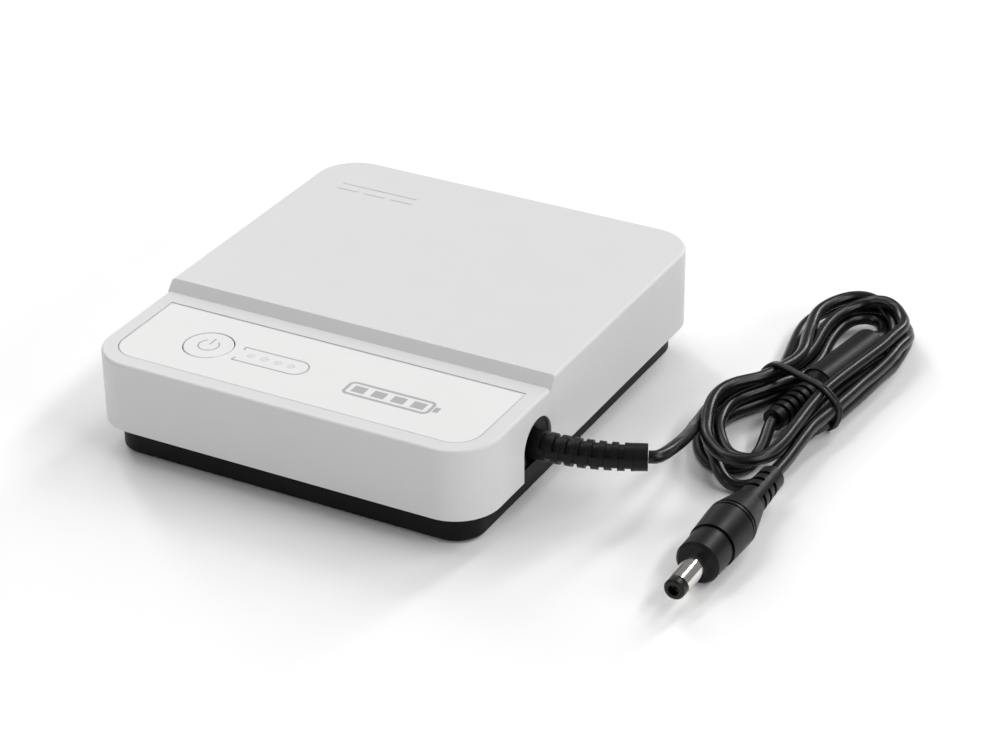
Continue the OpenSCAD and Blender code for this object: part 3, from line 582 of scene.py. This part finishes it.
FINISHES = {
    finish.__name__: finish().material
    for finish in (
        shell_plastic, base_plastic, label_film, button_plastic, light_guide_plastic,
        black_plastic, light_package, board_laminate, screw_steel, ferrite, capacitor_can,
        fuse_ceramic, connector_nylon, red_insulation, black_insulation, cell_wrap,
        cradle_plastic, nickel_strip, foam, nickel_plate, spring_brass, foot_rubber,
        rating_foil, lead_jacket, moulded_rubber, tie_plastic,
    )
}
NODE_SLOTS = {part["node"]: part["material_slot"] for part in frame["record"]["subparts"]}


def finish_nodes():
    """Every CAD node gets the finish of its slot."""
    for name, node in nodes.items():
        material = FINISHES[NODE_SLOTS[name]]
        node.data.materials.clear()
        node.data.materials.append(material)


# ---------------------------------------------------------------- pieces

def add_piece(name, mesh, slot, body="case", material=None):
    piece = bpy.data.objects.new(name, mesh)
    bpy.context.scene.collection.objects.link(piece)
    mesh.materials.append(material or FINISHES[slot])
    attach(piece, body)
    return piece


def add_lead(points):
    fine = smooth_line(points, steps=3)
    curve = bpy.data.curves.new("output_lead", "CURVE")
    curve.dimensions = "3D"
    curve.bevel_depth = LEAD_D / 2 * MM
    curve.bevel_resolution = 5
    curve.use_fill_caps = True
    spline = curve.splines.new("POLY")
    spline.points.add(len(fine) - 1)
    for point, place in zip(spline.points, fine):
        point.co = (*(place * MM), 1)
    spline.use_smooth = True
    return add_piece("output_lead", curve, "lead_jacket")


def convex_outline(points):
    """Outline of a set of flat points, anticlockwise."""
    ordered = sorted(map(tuple, points))
    halves = []
    for run in (ordered, ordered[::-1]):
        half = []
        for p in run:
            while len(half) > 1 and turns_right(half[-2], half[-1], p):
                half.pop()
            half.append(p)
        halves.append(half[:-1])
    return np.array(halves[0] + halves[1])


def turns_right(a, b, c):
    return (b[0] - a[0]) * (c[1] - a[1]) - (b[1] - a[1]) * (c[0] - a[0]) <= 0


# Section of the tie: place across its width and height above the strands
TIE_SECTION = [
    (-0.9, 0), (-0.9, 0.75), (-0.75, 1.05), (-0.4, 1.1), (-0.2, 0.85),
    (0.2, 0.85), (0.4, 1.1), (0.75, 1.05), (0.9, 0.75), (0.9, 0),
]


def strands_in_tie(points):
    """Middles of the strands where they cross the tie's plane: across and up."""
    relative = points[:, :2] - TIE_MIDDLE
    along = relative @ TIE_ALONG
    across = relative @ TIE_ACROSS
    found = []
    for i in range(len(points) - 1):
        if along[i] * along[i + 1] <= 0 and abs(across[i]) < TIE_HALF_W + 1:
            part = along[i] / (along[i] - along[i + 1] + 1e-12)
            height = points[i, 2] + part * (points[i + 1, 2] - points[i, 2])
            found.append((across[i] + part * (across[i + 1] - across[i]), height))
    return found


def join_rows(build, rows, closed):
    """Faces between rows of points that each go once round a section."""
    for i in range(len(rows) if closed else len(rows) - 1):
        row = rows[i]
        following = rows[(i + 1) % len(rows)]
        for k in range(len(row)):
            after = (k + 1) % len(row)
            build.faces.new((row[k], row[after], following[after], following[k]))


def add_tie(points):
    """A tie drawn tight round the strands, with a groove along its middle."""
    radius = LEAD_D / 2 + 0.05
    rims = []
    for across, height in strands_in_tie(points):
        for i in range(24):
            angle = math.tau * i / 24
            rims.append((across + radius * math.cos(angle), height + radius * math.sin(angle)))
    outline = convex_outline(rims)
    closed = np.concatenate([outline, outline[:1]])
    flat = np.column_stack([closed, np.zeros(len(closed))])
    ring = even_points(flat, 0.8)[:-1, :2]
    for _ in range(6):
        ring = (np.roll(ring, 1, axis=0) + 2 * ring + np.roll(ring, -1, axis=0)) / 4
    mesh = bpy.data.meshes.new("cord_tie_strap")
    build = bmesh.new()
    rows = []
    for i, (across, height) in enumerate(ring):
        ahead = ring[(i + 1) % len(ring)] - ring[i - 1]
        outward = np.array([ahead[1], -ahead[0]]) / np.linalg.norm(ahead)
        row = []
        for width, lift in TIE_SECTION:
            u = across + outward[0] * lift
            z = max(height + outward[1] * lift, 0.08)
            x, y = TIE_MIDDLE + u * TIE_ACROSS + width * TIE_ALONG
            row.append(build.verts.new((x * MM, y * MM, z * MM)))
        rows.append(row)
    join_rows(build, rows, True)
    bmesh.ops.recalc_face_normals(build, faces=build.faces)
    for face in build.faces:
        face.smooth = True
    build.to_mesh(mesh)
    build.free()
    return add_piece("cord_tie_strap", mesh, "tie_plastic")


def add_ribbon(build, line, width, low, high, closed=False):
    """A flat strip of one width along a line, in mm, from height low to height high."""
    line = [Vector(p) for p in line]
    count = len(line)
    rows = []
    for i, p in enumerate(line):
        before = line[i - 1] if closed or i > 0 else p
        after = line[(i + 1) % count] if closed or i < count - 1 else p
        ahead = (after - before).normalized()
        side = Vector((-ahead.y, ahead.x)) * width / 2
        corners = [(p + side, low), (p - side, low), (p - side, high), (p + side, high)]
        rows.append([build.verts.new((q.x * MM, q.y * MM, z * MM)) for q, z in corners])
    join_rows(build, rows, closed)
    if not closed:
        build.faces.new(rows[0])
        build.faces.new(rows[-1][::-1])


def arc(x, y, radius, start, end, steps=32):
    """Points on an arc, with angles in degrees from +X."""
    points = []
    for i in range(steps + 1):
        angle = math.radians(start + (end - start) * i / steps)
        points.append((x + radius * math.cos(angle), y + radius * math.sin(angle)))
    return points


def round_box(x0, y0, x1, y1, radius):
    """Outline of a rectangle with round corners, anticlockwise."""
    return (
        arc(x1 - radius, y0 + radius, radius, -90, 0, 8)
        + arc(x1 - radius, y1 - radius, radius, 0, 90, 8)
        + arc(x0 + radius, y1 - radius, radius, 90, 180, 8)
        + arc(x0 + radius, y0 + radius, radius, 180, 270, 8)
    )


def add_strips(name, strips, low, high, slot, material, body="case"):
    """One piece made of several flat strips: line, width and whether it is closed."""
    mesh = bpy.data.meshes.new(name)
    build = bmesh.new()
    for line, width, closed in strips:
        add_ribbon(build, line, width, low, high, closed)
    bmesh.ops.recalc_face_normals(build, faces=build.faces)
    build.to_mesh(mesh)
    build.free()
    return add_piece(name, mesh, slot, body, material)


PANEL_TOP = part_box("front_label")[1].z / MM
BUTTON_LOW, BUTTON_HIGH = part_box("power_button")
BUTTON_TOP = BUTTON_HIGH.z / MM
BUTTON_X, BUTTON_Y = (BUTTON_LOW + BUTTON_HIGH).xy / 2 / MM
INK_T = 0.015                         # how far print and the painted edge shade stand up
LIGHTS_X, LIGHTS_Y = -17, -40.9       # first of the four lights
LIGHT_PITCH = 3.65
PILL_R = 3.2                          # half the width of the outline round the lights
HOOK_R = 8.9                          # where that outline bends round the button
HOOK_TURN = 9                         # degrees that it follows the button at each end
OUTLINE_W = 0.4
RECESS_SHADE_W = 0.2
# Width of the grey line of painted shade round the label
SYMBOL_W = 0.36
SYMBOL_R = 2.5
LABEL_CORNER_R = 6.5
RECESS_SHADE_IN = 0.15                      # from the label's edge to the middle of the painted recess-shade line
MARK_X, MARK_Y = 22.5, -43            # middle of the battery sign on the label


# Matte ink, used for print and for the painted shade line round the label
def ink_or_painted_shade(name, colour):
    return plain_finish(name, colour, 0.4, vary=0.03, grain=0.2 * MM, depth=0.001 * MM).material


def add_printing():
    """Lines printed on the label and on the button, a plain battery sign, and a grey line round the
    label's edge that is painted shade of its recess.
    """
    line_ink = ink_or_painted_shade("line_ink", (0.37, 0.375, 0.38))
    # Grey for a line of painted shade round the label, where it sits in its recess
    recess_shade_ink = ink_or_painted_shade("recess_shade_ink", (0.5, 0.503, 0.505))
    mark_ink = ink_or_painted_shade("mark_ink", (0.41, 0.415, 0.42))
    pill_end = LIGHTS_X + 3 * LIGHT_PITCH + 1.2
    hook = math.degrees(math.asin(PILL_R / HOOK_R))
    pill = (
        arc(BUTTON_X, BUTTON_Y, HOOK_R, HOOK_TURN - hook, -hook, 6)
        + arc(pill_end, LIGHTS_Y, PILL_R, -90, 90, 24)
        + arc(BUTTON_X, BUTTON_Y, HOOK_R, hook, hook - HOOK_TURN, 6)
    )
    add_strips("printed_outline", [(pill, OUTLINE_W, False)], PANEL_TOP, PANEL_TOP + INK_T,
               "label_film", line_ink)
    # A grey line all round the label, just inside its edge: painted shade of the recess that the label
    # sits in
    left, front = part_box("front_label")[0].xy / MM
    right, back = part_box("front_label")[1].xy / MM
    corner = LABEL_CORNER_R - RECESS_SHADE_IN
    recess_shade_line = (
        [(left + RECESS_SHADE_IN, back - RECESS_SHADE_IN)]
        + arc(left + LABEL_CORNER_R, front + LABEL_CORNER_R, corner, 180, 270, 12)
        + arc(right - LABEL_CORNER_R, front + LABEL_CORNER_R, corner, 270, 360, 12)
        + [(right - RECESS_SHADE_IN, back - RECESS_SHADE_IN)]
    )
    add_strips("painted_recess_shade", [(recess_shade_line, RECESS_SHADE_W, True)], PANEL_TOP, PANEL_TOP + INK_T,
               "label_film", recess_shade_ink)
    symbol = [
        (arc(BUTTON_X, BUTTON_Y, SYMBOL_R, 125, 415, 40), SYMBOL_W, False),
        ([(BUTTON_X, BUTTON_Y + 0.4), (BUTTON_X, BUTTON_Y + 3.3)], SYMBOL_W, False),
    ]
    add_strips("printed_power_symbol", symbol, BUTTON_TOP, BUTTON_TOP + INK_T,
               "button_plastic", line_ink, "button")
    left, right = MARK_X - 12, MARK_X + 10
    low, high = MARK_Y - 2.6, MARK_Y + 2.6
    sign = [
        (round_box(left, low, right, high, 1.2), 0.8, True),
        ([(right + 1.4, MARK_Y - 1.1), (right + 1.4, MARK_Y + 1.1)], 1.4, False),
    ]
    for i in range(4):
        x = left + 3.2 + i * 5.2
        sign.append(([(x, MARK_Y - 1.4), (x, MARK_Y + 1.4)], 3.4, False))
    add_strips("printed_battery_sign", sign, PANEL_TOP, PANEL_TOP + INK_T,
               "label_film", mark_ink)


DECK_SIGN_X, DECK_SIGN_Y = -43, 42    # left end of the dashes
DASH_L = 6
DASH_PITCH = 8
DASH_W = 1.1
BAR_ABOVE = 3


def add_deck_mark():
    """Raised sign for direct current on the deck: a bar over three dashes."""
    deck_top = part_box("top_shell")[1].z / MM
    bar_y = DECK_SIGN_Y + BAR_ABOVE
    lines = [((DECK_SIGN_X, bar_y), (DECK_SIGN_X + 2 * DASH_PITCH + DASH_L, bar_y))]
    for i in range(3):
        x = DECK_SIGN_X + i * DASH_PITCH
        lines.append(((x, DECK_SIGN_Y), (x + DASH_L, DECK_SIGN_Y)))
    strips = [(line, DASH_W, False) for line in lines]
    add_strips("raised_current_sign", strips, deck_top - 0.05, deck_top + 0.12,
               "shell_plastic", FINISHES["shell_plastic"])


def add_plate_lines():
    """Frame and empty rows printed on the plate under the base."""
    low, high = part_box("rating_plate")
    under = low.z / MM
    left, front = low.xy / MM
    right, back = high.xy / MM
    inset = 2
    strips = [(round_box(left + inset, front + inset, right - inset, back - inset, 1), 0.3, True)]
    row_h = (back - front - 2 * inset) / 5
    for i in range(1, 5):
        y = front + inset + i * row_h
        strips.append(([(left + inset, y), (right - inset, y)], 0.2, False))
    add_strips("printed_plate_lines", strips, under - INK_T, under, "rating_foil",
               ink_or_painted_shade("plate_ink", (0.06, 0.06, 0.065)))


# ---------------------------------------------------------------- floor and light

def add_floor():
    build = bmesh.new()
    bmesh.ops.create_grid(build, x_segments=2, y_segments=2, size=4)
    mesh = bpy.data.meshes.new("floor")
    build.to_mesh(mesh)
    build.free()
    floor = bpy.data.objects.new("floor", mesh)
    bpy.context.scene.collection.objects.link(floor)
    graph = plain_finish("floor", (0.93, 0.93, 0.93), 0.75, vary=0.003, specular=0.2)
    mesh.materials.append(graph.material)


def add_panel(name, place, target, size, power):
    """A soft light panel that faces a point."""
    light = bpy.data.lights.new(name, "AREA")
    light.shape = "RECTANGLE"
    light.size, light.size_y = size
    light.energy = power
    panel = bpy.data.objects.new(name, light)
    bpy.context.scene.collection.objects.link(panel)
    panel.location = place
    direction = Vector(target) - Vector(place)
    panel.rotation_euler = direction.to_track_quat("-Z", "Y").to_euler()


def add_lights():
    bpy.context.scene.view_settings.view_transform = "Standard"
    world = bpy.data.worlds.new("studio")
    bpy.context.scene.world = world
    world.use_nodes = True
    background = world.node_tree.nodes["Background"]
    background.inputs["Color"].default_value = (1, 1, 1, 1)
    background.inputs["Strength"].default_value = 0.24
    middle = (0.03, 0.02, 0)
    add_panel("strip_left", (-0.8, 0.3, 1.8), middle, (2, 0.25), 10)
    add_panel("strip_right", (1.3, 0.3, 1.6), middle, (2, 0.25), 15)
    add_panel("right_fill", (1.7, -0.1, 0.7), middle, (1, 0.6), 8)
    add_panel("front_fill", (-0.9, -1.5, 0.9), middle, (1, 0.6), 5)
    add_panel("back_left", (-1.6, 1.2, 1.1), middle, (0.3, 1.6), 15)
    add_panel("back_right", (0.4, 1.8, 1.3), middle, (0.3, 1.6), 17)


# ---------------------------------------------------------------- build

finish_nodes()
route = lead_points()
lead = add_lead(route)
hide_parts("cord_lead", "cord_hank", "cord_tail")
tie = add_tie(route)
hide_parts("cord_tie")
add_printing()
add_deck_mark()
add_plate_lines()
add_floor()
add_lights()
